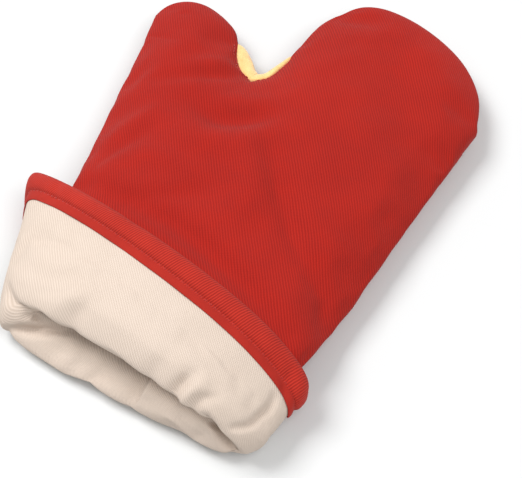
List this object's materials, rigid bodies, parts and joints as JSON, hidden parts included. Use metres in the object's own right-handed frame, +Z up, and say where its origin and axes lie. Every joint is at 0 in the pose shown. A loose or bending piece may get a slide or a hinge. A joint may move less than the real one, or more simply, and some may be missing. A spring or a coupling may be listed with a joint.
{
  "type": "oven mitt",
  "caption": "Insulated oven mitt lying palm down with its lined cuff turned back, bias-bound hem and a guard strip in the web of the thumb.",
  "frame": {"origin": "middle of the mitt's footprint on the table, Z = 0 under the palm", "axes": "+Z up from the palm to the back of the hand, +Y to the fingertips, thumb towards -X"},
  "size_m": [0.2256, 0.3102, 0.0543],
  "materials": {
    "shell_twill": "matt red heat-resistant twill",
    "guard_felt": "pale yellow fuzzy felt",
    "barrier_film": "thin grey steam-barrier film",
    "insulation_felt": "off-white needled felt",
    "lining_twill": "unbleached cotton twill",
    "binding_twill": "matt red bias-cut twill tape",
    "thread": "red spun sewing thread"
  },
  "bodies": {
    "root": {"shell_back": "shell_twill", "shell_palm": "shell_twill", "web_guard": "guard_felt", "steam_barrier_back": "barrier_film", "steam_barrier_palm": "barrier_film", "felt_back": "insulation_felt", "felt_palm": "insulation_felt", "lining_back": "lining_twill", "lining_palm": "lining_twill", "cuff_binding": "binding_twill", "binding_stitching": "thread", "web_stitching_back": "thread", "web_stitching_palm": "thread"}
  },
  "joints": []
}
